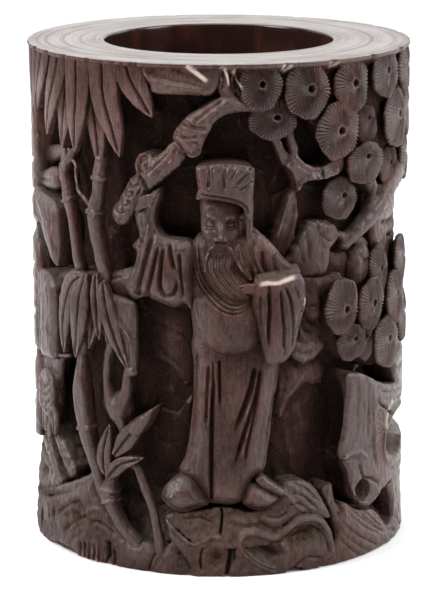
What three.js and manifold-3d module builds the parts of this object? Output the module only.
// A carved hardwood brush pot: a hollowed section of log whose wall is cut in high relief with bamboo,
// a pine tree, rocks and a standing scholar, closed below by a turned disc let into a rabbet.
// Millimetres, +Z up, origin at the middle of the foot, the scholar facing -Y.
import * as THREE from "three";
import { mergeVertices } from "three/addons/utils/BufferGeometryUtils.js";
import Module from "manifold-3d";

const wasm = await Module();
wasm.setup();

// Driving dimensions
const HEIGHT = 160;
const OUTER_RADIUS = 61;
const BORE_RADIUS = 36.4;
const RELIEF_DEPTH = 11; // how far the ground between the motifs is cut back
const RIM_COLLAR_DEPTH = 2; // height of the nearly uncut band under the mouth
const RIM_COLLAR_CUT = 0.8;
const RIM_SLOPE = 9; // height over which the ground curves out to the collar
const MOUTH_ROUND = 0.8;
const FOOT_HEIGHT = 5; // height of the uncut band at the foot
const FOOT_SLOPE = 14;
const EDGE = 0.6; // worn edge at the foot and the mouth
const RABBET_LEDGE = 4; // how much wider the plug is than the bore
const PLUG_THICKNESS = 8;
const PLUG_RECESS = 1.5; // the plug sits this far above the resting plane
const PLUG_EDGE = 0.8;
const PLUG_GAP = 0.3; // glue line between the plug and its rabbet
const WALL_SEGMENTS = 56;

const GROUND_RADIUS = OUTER_RADIUS - RELIEF_DEPTH;
const PLUG_RADIUS = BORE_RADIUS + RABBET_LEDGE;

// The carving is drawn on a flat wall of the size below, in [across, up]: across is the arc from the
// front, positive to the right of someone who faces the scholar, and radii run from the ground at 50
// out to the wall's skin at 61. wrap() bends the drawing round the pot and stretches it to the pot's
// own height, radius and relief depth.
const DRAWN_HEIGHT = 160;
const DRAWN_RADIUS = 61;
const DRAWN_GROUND = 50;
const SINK = 2; // motifs go this far below the ground, so that they grow out of the wall
const MOTIF_RADIUS = 59.1; // where the middle of a motif near the skin lies
const OVER_RIM = 161; // motifs that the mouth plane cuts off are drawn up to here

const CULM_RADIUS = MOTIF_RADIUS - 2.5;
const SPRAY_RADIUS = MOTIF_RADIUS - 1.2;
const WHORL_RADIUS = MOTIF_RADIUS - 0.7;
const TWIG_RADIUS = 57;
const MERGE_WITHIN = 1e-4; // corners closer than this are one corner

const flat = (across, up, radius) => new THREE.Vector3(across, -radius, up);

function wrap(geometry) {
  const deepen = RELIEF_DEPTH / (DRAWN_RADIUS - DRAWN_GROUND);
  const position = geometry.getAttribute("position");
  for (let i = 0; i < position.count; i++) {
    const angle = position.getX(i) / DRAWN_RADIUS;
    const radius = GROUND_RADIUS + (-position.getY(i) - DRAWN_GROUND) * deepen;
    const up = (position.getZ(i) * HEIGHT) / DRAWN_HEIGHT;
    position.setXYZ(i, radius * Math.sin(angle), -radius * Math.cos(angle), up);
  }
  return geometry;
}

function solid(geometry) {
  const bare = geometry.clone();
  for (const name of Object.keys(bare.attributes)) {
    if (name !== "position") bare.deleteAttribute(name);
  }
  const merged = mergeVertices(bare, MERGE_WITHIN);
  const vertProperties = new Float32Array(merged.getAttribute("position").array);
  const triVerts = new Uint32Array(merged.index.array);
  let volume = 0;
  const corner = [0, 1, 2].map(() => new THREE.Vector3());
  for (let i = 0; i < triVerts.length; i += 3) {
    corner.forEach((v, k) => v.fromArray(vertProperties, 3 * triVerts[i + k]));
    volume += corner[0].dot(corner[1].cross(corner[2]));
  }
  if (volume < 0) {
    for (let i = 0; i < triVerts.length; i += 3) {
      [triVerts[i], triVerts[i + 1]] = [triVerts[i + 1], triVerts[i]];
    }
  }
  return new wasm.Manifold(new wasm.Mesh({ numProp: 3, vertProperties, triVerts }));
}

function toGeometry(manifold) {
  const mesh = manifold.getMesh();
  const geometry = new THREE.BufferGeometry();
  geometry.setAttribute("position", new THREE.BufferAttribute(new Float32Array(mesh.vertProperties), 3));
  geometry.setIndex(new THREE.BufferAttribute(new Uint32Array(mesh.triVerts), 1));
  geometry.computeVertexNormals();
  return geometry;
}

// Sections are drawn in [across, outward] shares of a half width and a half depth.
const roundSection = (sides) =>
  Array.from({ length: sides }, (_, i) => {
    const turn = (2 * Math.PI * (i + 0.5)) / sides;
    return [Math.cos(turn), Math.sin(turn)];
  });
const ROUND = roundSection(6);
const THIN_ROUND = roundSection(4);
const CULM_ROUND = roundSection(5);
const FINE_ROUND = roundSection(8);
const BLADE = [
  [1, -0.2],
  [0.6, 1],
  [0, 0.35],
  [-0.6, 1],
  [-1, -0.2],
];

// A skin over sections set square to a path. A station is [across, up, radius, half width, half depth].
function loft(stations, section = ROUND) {
  const path = stations.map(([across, up, radius]) => flat(across, up, radius));
  const outward = new THREE.Vector3(0, -1, 0);
  const vertices = [];
  path.forEach((point, i) => {
    const along = path[Math.min(i + 1, path.length - 1)].clone().sub(path[Math.max(i - 1, 0)]).normalize();
    const across = new THREE.Vector3().crossVectors(along, outward).normalize();
    const proud = new THREE.Vector3().crossVectors(across, along).normalize();
    const [, , , halfWidth, halfDepth] = stations[i];
    for (const [u, v] of section) {
      vertices.push(
        point.clone().addScaledVector(across, u * halfWidth).addScaledVector(proud, v * halfDepth),
      );
    }
  });
  const sides = section.length;
  const faces = [];
  for (let i = 0; i + 1 < path.length; i++) {
    for (let k = 0; k < sides; k++) {
      const a = i * sides + k;
      const b = i * sides + ((k + 1) % sides);
      faces.push(a, b, b + sides, a, b + sides, a + sides);
    }
  }
  const first = vertices.push(path[0].clone()) - 1;
  const last = vertices.push(path[path.length - 1].clone()) - 1;
  const end = (path.length - 1) * sides;
  for (let k = 0; k < sides; k++) {
    const next = (k + 1) % sides;
    faces.push(first, next, k, last, end + k, end + next);
  }
  const geometry = new THREE.BufferGeometry().setFromPoints(vertices);
  geometry.setIndex(faces);
  return solid(wrap(geometry));
}

// A flat outline on the wall, cut through from one radius out to another.
function slab(outline, innerRadius, outerRadius, bevel = 0.8) {
  const shape = new THREE.Shape(outline.map(([across, up]) => new THREE.Vector2(across, up)));
  const geometry = new THREE.ExtrudeGeometry(shape, {
    depth: outerRadius - innerRadius - bevel,
    bevelThickness: bevel,
    bevelSize: bevel,
    bevelOffset: -bevel,
    bevelSegments: 1,
    bevelEnabled: bevel > 0,
  });
  geometry.rotateX(Math.PI / 2).translate(0, -innerRadius, 0);
  return solid(wrap(geometry));
}

function boulder([across, up, halfWidth, halfHeight, radius, halfDepth], detail = 1) {
  const geometry = detail ? new THREE.IcosahedronGeometry(1, detail) : new THREE.DodecahedronGeometry(1);
  geometry.scale(halfWidth, halfDepth, halfHeight).translate(across, -radius, up);
  return solid(wrap(geometry));
}

function turned(points) {
  const profile = points.map(([radius, up]) => new THREE.Vector2(radius, up));
  return new THREE.LatheGeometry(profile, WALL_SEGMENTS).rotateX(Math.PI / 2);
}

// The log with the ground cut back between the foot band and the rim collar
function blank() {
  return solid(
    turned([
      [0, 0],
      [OUTER_RADIUS - EDGE, 0],
      [OUTER_RADIUS, EDGE],
      [OUTER_RADIUS, FOOT_HEIGHT],
      [GROUND_RADIUS, FOOT_HEIGHT + FOOT_SLOPE],
      [GROUND_RADIUS, HEIGHT - RIM_COLLAR_DEPTH - RIM_SLOPE],
      [OUTER_RADIUS - RIM_COLLAR_CUT, HEIGHT - RIM_COLLAR_DEPTH],
      [OUTER_RADIUS - RIM_COLLAR_CUT, HEIGHT],
      [0, HEIGHT],
    ]),
  );
}

// The log's outer envelope: whatever is drawn proud of it is planed away.
function envelope() {
  return solid(
    turned([
      [0, 0],
      [OUTER_RADIUS - EDGE, 0],
      [OUTER_RADIUS, EDGE],
      [OUTER_RADIUS, HEIGHT - EDGE],
      [OUTER_RADIUS - EDGE, HEIGHT],
      [0, HEIGHT],
    ]),
  );
}

// The bore with its rounded mouth, and the rabbet for the plug
function hollow() {
  const shoulder = PLUG_RECESS + PLUG_THICKNESS + PLUG_GAP;
  return solid(
    turned([
      [0, -1],
      [PLUG_RADIUS + PLUG_GAP, -1],
      [PLUG_RADIUS + PLUG_GAP, shoulder],
      [BORE_RADIUS, shoulder],
      [BORE_RADIUS, HEIGHT - MOUTH_ROUND],
      [BORE_RADIUS + MOUTH_ROUND * 0.3, HEIGHT - MOUTH_ROUND * 0.3],
      [BORE_RADIUS + MOUTH_ROUND, HEIGHT],
      [BORE_RADIUS + MOUTH_ROUND, HEIGHT + 1],
      [0, HEIGHT + 1],
    ]),
  );
}

// Bamboo: a culm swells at each node. Points are [across, up]; nodes are shares of the culm's length.
const NODE_SWELL = 1.3;
const NODE_REACH = 0.035;
const THIN_CULM = 2.1;

function culm(points, halfWidth, nodes = [], radius = CULM_RADIUS) {
  const curve = new THREE.CatmullRomCurve3(points.map(([across, up]) => flat(across, up, radius)));
  const shares = [0, 1, ...nodes.flatMap((n) => [n - NODE_REACH, n, n + NODE_REACH])];
  for (let i = 1; i < points.length - 1; i++) {
    const share = i / (points.length - 1);
    if (nodes.every((n) => Math.abs(n - share) > 2 * NODE_REACH)) shares.push(share);
  }
  shares.sort((a, b) => a - b);
  return loft(
    shares.map((share) => {
      const point = curve.getPointAt(Math.min(Math.max(share, 0), 1));
      const swell = nodes.includes(share) ? NODE_SWELL : 1;
      return [point.x, point.z, -point.y, halfWidth * swell, halfWidth * swell];
    }),
    halfWidth < THIN_CULM ? THIN_ROUND : CULM_ROUND,
  );
}

// A blade is [root across, root up, tip across, tip up, half width, radius]; its shape gives shares of
// the length and of the half width.
const BLADE_SHAPE = [
  [0, 0.62],
  [0.35, 1],
  [0.7, 0.75],
  [1, 0.06],
];
const BLADE_DROOP = 1.2;
const BLADE_THICKNESS = 1.5;
const BLADE_THINNING = 0.5;

function blade([fromAcross, fromUp, toAcross, toUp, halfWidth, radius = MOTIF_RADIUS]) {
  const stations = BLADE_SHAPE.map(([share, width]) => [
    THREE.MathUtils.lerp(fromAcross, toAcross, share),
    THREE.MathUtils.lerp(fromUp, toUp, share),
    radius - BLADE_DROOP * share * share,
    halfWidth * width,
    BLADE_THICKNESS - BLADE_THINNING * share,
  ]);
  return loft(stations, BLADE);
}

const RIM_LEAVES = [
  [-38.4, OVER_RIM, -32.4, 130.6, 4.4],
  [-30.8, OVER_RIM, -21.6, 143.4, 3.9],
  [-48.4, OVER_RIM, -51.6, 130, 4.5],
  [-44.8, 154, -41.8, 124.6, 3.2, 57.8],
  [-55, OVER_RIM, -61, 129.6, 3.7, 58.4],
  [-60.4, OVER_RIM, -70.6, 132.4, 3.9],
  [-70.6, OVER_RIM, -79.5, 140.6, 4.1],
  [-81, OVER_RIM, -87, 140, 4.1],
];
const HANGING_LEAVES = [
  [-49, 92, -60.5, 66, 3.2, 58.4],
  [-48.5, 92, -51.8, 65, 3.1],
  [-44, 90, -42, 71, 2.4, 58.8],
  [-45, 90, -46, 68, 2.2, 58],
  [-42, 89, -30, 63, 4.0],
];
const SHOOT_LEAVES = [
  [-38.3, 27, -36.8, 46.5, 2.5, 57.6],
  [-37, 31, -22.5, 52, 2.4, 57.2],
];
// The grove on the side that faces left repeats one spray of leaves.
const SPRAYS = [
  [-106, OVER_RIM, 0.55],
  [-132, OVER_RIM, 0.55],
  [-102, 92, 0.15],
  [-130, 98, 0.15],
];
const SPRAY_BLADES = [-9, 9];
const SPRAY_DROP = 27; // how far a blade that hangs straight down would reach
const SPRAY_LIFT = 0.45; // how much of that a blade gives up for each millimetre it leans
const SPRAY_SPREAD = 1.15;
const SPRAY_HALF_WIDTH = 3;

const CULMS = [
  [[[-42, 90], [-42.6, 100], [-43.5, 112], [-42.2, 121], [-41.6, 131]], 2.4, [0.5, 0.83]],
  [[[-50, 88], [-54, 102], [-57.4, 112.5], [-61, 121], [-64, 127.5]], 2.5, [0.56]],
  [[[-60.5, 121], [-57, 129], [-56, 134]], 1.7, []],
  [[[-45, 114], [-50.5, 118], [-53.5, 124], [-57, 131]], 0.9, []],
  [[[-51, 68], [-51.4, 57], [-49.2, 44], [-45.6, 34], [-41.5, 22]], 2.2, [0.55]],
  [[[-38.8, 68], [-38.3, 60], [-36.4, 51], [-33, 46]], 1.2, []],
  [[[-29.6, 65], [-32, 57], [-35.4, 50], [-34, 44], [-38, 30], [-38, 21]], 1.6, [0.33, 0.93]],
  [[[-38, 23], [-34, 15], [-28, 6], [-26, 2]], 2, []],
  [[[-29, 34], [-22, 21], [-18, 2]], 1.6, []],
  [[[-103, 14], [-100, 60], [-104, 100], [-101, 153]], 2.6, [0.3, 0.6]],
  [[[-130, 14], [-127, 62], [-133, 104], [-130, 153]], 2.6, [0.32, 0.62]],
  [[[-147, 14], [-143, 62], [-148, 108], [-145, 153]], 2, [0.36, 0.66]],
];

// Pine: stations as in loft()
const PINE_BRANCH = [
  [16, 145, 57, 2.6, 2.6],
  [4, 147.5, 57.5, 2.4, 2.6],
  [-3, 144, 57.8, 3, 3],
  [-8, 138.5, 58, 4.6, 3],
  [-12, 135, 58, 3.2, 2.8],
  [-19, 129, 58, 3.3, 2.8],
  [-25, 124, 58, 3.6, 3],
  [-27, 121, 58, 4, 3],
  [-32, 113, 58, 2.9, 2.4],
];
const PINE_TRUNKS = [
  [
    [55, 12, 54, 13, 5],
    [54, 24, 54.5, 10.5, 5],
    [53, 40, 55, 9, 4.8],
    [54, 62, 54, 8, 4],
    [60, 84, 52.5, 7, 3.5],
    [63, 106, 55, 6, 4],
    [74, 124, 55, 5, 4],
    [82, 150, 54, 4, 3.5],
  ],
  [
    [100, 8, 54, 14, 5],
    [104, 30, 55, 9, 5],
    [99, 60, 55.5, 7, 4.6],
    [106, 92, 55.5, 6, 4.2],
    [116, 118, 55, 5, 4],
    [112, 148, 54, 4, 3.5],
  ],
  [
    [102, 88, 55, 4, 3.4],
    [122, 104, 56, 3.4, 3],
    [142, 106, 56, 2.8, 2.6],
    [158, 118, 56, 2.2, 2.2],
  ],
];
const TWIGS = [
  [[[-1, 147], [2, 154], [4, 159]], 1.8, []],
  [[[-24, 128], [-26.5, 131.5], [-27, 126]], 1.3, []],
  [[[22, 140], [27, 130], [36, 126], [44, 124]], 2, []],
  [[[31, 146], [30, 136], [27, 128]], 1.2, []],
];
// [across, up, half width, half height]: whorls of needles seen end on
const NEEDLE_WHORLS = [
  [13.3, 153.5, 6.8, 7.3],
  [30, 151.5, 8, 9],
  [47.5, 151.5, 8.4, 9.3],
  [65, 153.5, 9, 8.8],
  [18, 142.3, 8.8, 6.2],
  [41.5, 137.5, 9.2, 8.3],
  [57, 140.5, 7, 8.4],
  [76, 139.5, 9.4, 9],
  [54.5, 128, 9, 8],
  [45, 116, 7.5, 7],
  [67, 91, 7.2, 8.8],
  [44.5, 82, 8.8, 9.6],
  [59.5, 81.5, 8.4, 8.8],
  [51, 70.5, 7, 6.6],
  [69, 68, 8.4, 8.4],
];
const BACK_WHORL = 9.4;
const BACK_WHORL_ROWS = [
  { up: 151.5, from: 84.5, step: 19.5, count: 5 },
  { up: 134.5, from: 94.5, step: 19.5, count: 4 },
  { up: 80, from: 79, step: 17, count: 1 },
  { up: 151.5, from: -187, step: 19.5, count: 3 },
];

const WHORL_SIDES = 7;
const whorlProfile = [
  [0, -10.6],
  [0.75, -10.6],
  [1, 0.3],
  [0.6, 1.7],
  [0.15, 1.9],
  [0, 0.4],
].map(([share, proud]) => new THREE.Vector2(share, proud));

function needleWhorl([across, up, halfWidth, halfHeight]) {
  const geometry = new THREE.LatheGeometry(whorlProfile, WHORL_SIDES);
  geometry.rotateX(Math.PI).scale(halfWidth, 1, halfHeight).translate(across, -WHORL_RADIUS, up);
  return solid(wrap(geometry));
}

// Rocks at the foot: [across, up, half width, half height, radius, half depth]
const ROCKS = [
  [0, 12, 13, 13, 52, 8],
  [-16, 10, 11, 13, 52, 8],
  [16, 13, 12, 12, 52, 8.4],
  [28, 17, 9, 13, 51, 8.2],
  [-32, 8, 10, 10, 52, 8],
  [32, 103, 9, 9, 49, 6],
  [20, 108, 6, 12, 49, 6],
  [31, 74, 6.5, 12, 50, 6.6],
];
const BACK_ROCK_COUNT = 10;
const BACK_ROCK_FROM = 80;
const BACK_ROCK = [10, 13, 13, 51.5, 8.4]; // up, half width, half height, radius, half depth
const BACK_ROCK_RISE = [2, 4]; // how much the place and the half height vary
const BACK_ROCK_TURN = 2.3; // what makes neighbours differ
const SIDE_ROCKS = [
  [40, 9, 10, 11, 52, 8],
  [-48, 14, 11, 15, 51, 8.8],
  [-62, 13, 11, 14, 51, 8.8],
  [-76, 14, 11, 15, 51, 8.8],
];
const CLIFF_ROCKS = [
  [146, 40, 14, 20, 51, 8.6],
  [186, 58, 12, 22, 51, 8.2],
  [160, 76, 12, 16, 51, 8.2],
  [-172, 44, 16, 26, 51, 8.8],
];
// Ledges: [from across, from up, to across, to up]
const LEDGES = [
  [-82, 85, -47, 91],
  [-82, 60, -57, 64],
];

const LEDGE_STEPS = 4;
const LEDGE_SECTION = [54, 2.6, 4.6]; // radius, half height, half depth

function ledge([fromAcross, fromUp, toAcross, toUp]) {
  const stations = Array.from({ length: LEDGE_STEPS + 1 }, (_, i) => {
    const share = i / LEDGE_STEPS;
    return [
      THREE.MathUtils.lerp(fromAcross, toAcross, share),
      THREE.MathUtils.lerp(fromUp, toUp, share),
      ...LEDGE_SECTION,
    ];
  });
  return loft(stations);
}

// The gnarled stem at the left edge stands on the ledges.
const LEFT_STEMS = [
  [
    [-71, 88, 53.5, 3, 5],
    [-73, 101, 54, 4, 5.2],
    [-74, 111, 54.5, 5, 5.4],
    [-73, 118, 53.5, 3, 5],
    [-72, 134, 52.5, 2.4, 4],
  ],
  [
    [-73, 61, 54, 4.8, 5.6],
    [-74, 78, 54.5, 5, 5.6],
    [-73, 90, 54, 4.6, 5.4],
  ],
  [
    [-69, 24, 53.5, 3.4, 5],
    [-71, 38, 54, 4.4, 5.4],
    [-70, 50, 54, 4.6, 5.4],
    [-72, 63, 53.5, 4, 5],
  ],
];

// The scholar: stations of [across, up, radius, half width, half depth]
const ROBE = [
  [1.5, 22, 54, 12, 4.5],
  [1, 32, 54.5, 12.6, 4.6],
  [3, 48, 55, 13.4, 4.8],
  [5, 66, 55.4, 14, 4.8],
  [3, 78, 56, 12.6, 4.8],
  [5, 92, 55.4, 14, 4.8],
  [7, 103, 54.5, 11, 4.2],
  [3, 108, 53, 6, 3],
];
const BELLY = [1.5, 80, 10.5, 10.5, 55.5, 5.2];
const HEAD = [1, 110.5, 7, 9.6, 55.6, 5.4];
const CAP = [
  [1.2, 116.5, 55.5, 8.4, 5.4],
  [1.5, 120, 55.6, 9, 5.4],
  [2, 128.6, 55.4, 9.6, 5.2],
  [2, 129.6, 55.2, 9, 4.8],
];
const BEARD = [
  [-3, 104.5, 58.6, 3, 1.8],
  [-1.5, 98, 59, 4.4, 1.8],
  [3.5, 92, 59, 4.2, 1.6],
  [9.5, 89.5, 58.8, 2.4, 1.4],
];
const RAISED_SLEEVE_FACE = 59.6;
const RAISED_SLEEVE = [
  [-21.5, 120],
  [-26.5, 114.5],
  [-26.2, 107],
  [-29, 103],
  [-30.5, 95],
  [-32, 90],
  [-27, 87],
  [-10, 86],
  [-9, 100],
  [-12, 106.5],
  [-17.5, 108],
  [-19, 114],
];
const HANGING_SLEEVE_FACE = 60.8;
const HANGING_SLEEVE = [
  [9.5, 93],
  [16, 92.5],
  [25, 95],
  [27, 86],
  [24, 74],
  [21, 67.5],
  [15, 67.5],
  [12.5, 78],
  [10.5, 86],
];
const SHOES = [
  [-12.5, 25.5, 6.6, 4.4, 56.5, 4.2],
  [14, 25.5, 6.4, 4.2, 56.8, 4],
];
const LIP_SLAB_FACE = 60.4;
const LIP_SLAB = [
  [-24.5, 160.5],
  [-20.5, 154.5],
  [-11, 151.8],
  [-1.5, 150.4],
  [1.5, 155],
  [5, 160.5],
];

function scholar() {
  return [
    loft(ROBE, FINE_ROUND),
    loft(CAP, FINE_ROUND),
    loft(BEARD),
    slab(RAISED_SLEEVE, DRAWN_GROUND - SINK, RAISED_SLEEVE_FACE),
    slab(HANGING_SLEEVE, DRAWN_GROUND - SINK, HANGING_SLEEVE_FACE),
    ...[BELLY, HEAD, ...SHOES].map((part) => boulder(part)),
  ];
}

function grove() {
  const sprays = SPRAYS.flatMap(([across, up, spread]) =>
    SPRAY_BLADES.map((lean) => {
      const drop = SPRAY_DROP - Math.abs(lean) * SPRAY_LIFT;
      return blade([
        across + lean * spread,
        up,
        across + lean * SPRAY_SPREAD,
        up - drop,
        SPRAY_HALF_WIDTH,
        SPRAY_RADIUS,
      ]);
    }),
  );
  return [
    ...[...RIM_LEAVES, ...HANGING_LEAVES, ...SHOOT_LEAVES].map(blade),
    ...sprays,
    ...CULMS.map(([points, halfWidth, nodes]) => culm(points, halfWidth, nodes)),
    ...LEFT_STEMS.map((stations) => loft(stations)),
  ];
}

function pine() {
  const backWhorls = BACK_WHORL_ROWS.flatMap(({ up, from, step, count }) =>
    Array.from({ length: count }, (_, i) => [from + i * step, up, BACK_WHORL, BACK_WHORL]),
  );
  return [
    loft(PINE_BRANCH),
    ...PINE_TRUNKS.map((stations) => loft(stations)),
    ...TWIGS.map(([points, halfWidth, nodes]) => culm(points, halfWidth, nodes, TWIG_RADIUS)),
    ...[...NEEDLE_WHORLS, ...backWhorls].map(needleWhorl),
    slab(LIP_SLAB, DRAWN_GROUND - SINK, LIP_SLAB_FACE),
  ];
}

function rocks() {
  const around = 2 * (Math.PI * DRAWN_RADIUS - BACK_ROCK_FROM);
  const [rockUp, rockHalfWidth, rockHalfHeight, rockRadius, rockHalfDepth] = BACK_ROCK;
  const [upRise, heightRise] = BACK_ROCK_RISE;
  const backRocks = Array.from({ length: BACK_ROCK_COUNT }, (_, i) => {
    const across = BACK_ROCK_FROM + (around * i) / (BACK_ROCK_COUNT - 1);
    const rise = Math.sin(BACK_ROCK_TURN * i);
    return [
      across,
      rockUp + upRise * rise,
      rockHalfWidth,
      rockHalfHeight + heightRise * rise,
      rockRadius,
      rockHalfDepth,
    ];
  });
  return [
    ...ROCKS.map((rock) => boulder(rock)),
    ...[...SIDE_ROCKS, ...backRocks, ...CLIFF_ROCKS].map((rock) => boulder(rock, 0)),
    ...LEDGES.map(ledge),
  ];
}

function carvedWall() {
  const motifs = wasm.Manifold.union([...scholar(), ...grove(), ...pine(), ...rocks()]);
  return toGeometry(blank().add(motifs.intersect(envelope())).subtract(hollow()));
}

function basePlug() {
  return turned([
    [0, PLUG_RECESS],
    [PLUG_RADIUS - PLUG_EDGE, PLUG_RECESS],
    [PLUG_RADIUS, PLUG_RECESS + PLUG_EDGE],
    [PLUG_RADIUS, PLUG_RECESS + PLUG_THICKNESS],
    [0, PLUG_RECESS + PLUG_THICKNESS],
  ]);
}

const carvedWood = new THREE.MeshStandardMaterial({ color: 0x4a302c, roughness: 0.5, metalness: 0 });
const plugWood = new THREE.MeshStandardMaterial({ color: 0x3c2723, roughness: 0.6, metalness: 0 });

function part(name, geometry, material) {
  const mesh = new THREE.Mesh(geometry, material);
  mesh.name = name;
  return mesh;
}

const brushPot = new THREE.Group();
brushPot.add(part("carved_wall", carvedWall(), carvedWood));
brushPot.add(part("base_plug", basePlug(), plugWood));

export default brushPot;
